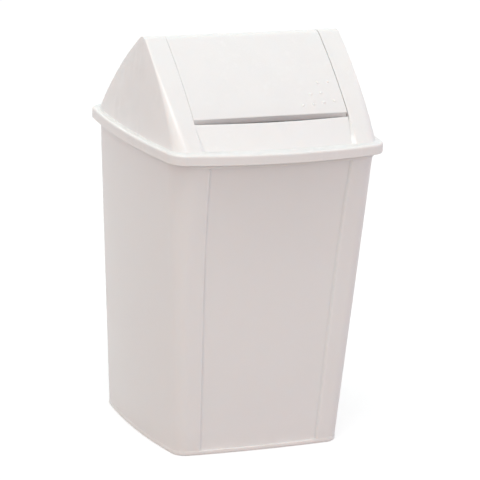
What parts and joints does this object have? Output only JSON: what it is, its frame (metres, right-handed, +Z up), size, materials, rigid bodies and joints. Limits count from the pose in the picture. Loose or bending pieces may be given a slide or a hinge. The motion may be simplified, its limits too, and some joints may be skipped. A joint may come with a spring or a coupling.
{
  "type": "swing-lid waste bin",
  "caption": "Tall tapering kitchen bin with a lift-off gabled hood and a two-leaf swing flap on stub pins; square plan with bowed sides, shallow wall panels and push dots.",
  "frame": {"origin": "middle of the base, on the ground", "axes": "+Z up, X across the bin along the flap's pivot, front faces -Y (the leaf with the push dots)"},
  "size_m": [0.382, 0.3848, 0.6328],
  "materials": {
    "white_plastic": "satin"
  },
  "bodies": {
    "tub": {"tub": "white_plastic"},
    "hood": {"hood": "white_plastic"},
    "flap": {"swing_flap": "white_plastic"}
  },
  "joints": [
    {"name": "hood_lift", "type": "slide", "parent": "tub", "child": "hood", "axis": [0, 0, 1], "range_m": [0, 0.1]},
    {"name": "flap_swing", "type": "hinge", "parent": "hood", "child": "flap", "pos_m": [0, 0, 0.61876], "axis": [1, 0, 0], "range_deg": [-80, 80]}
  ]
}
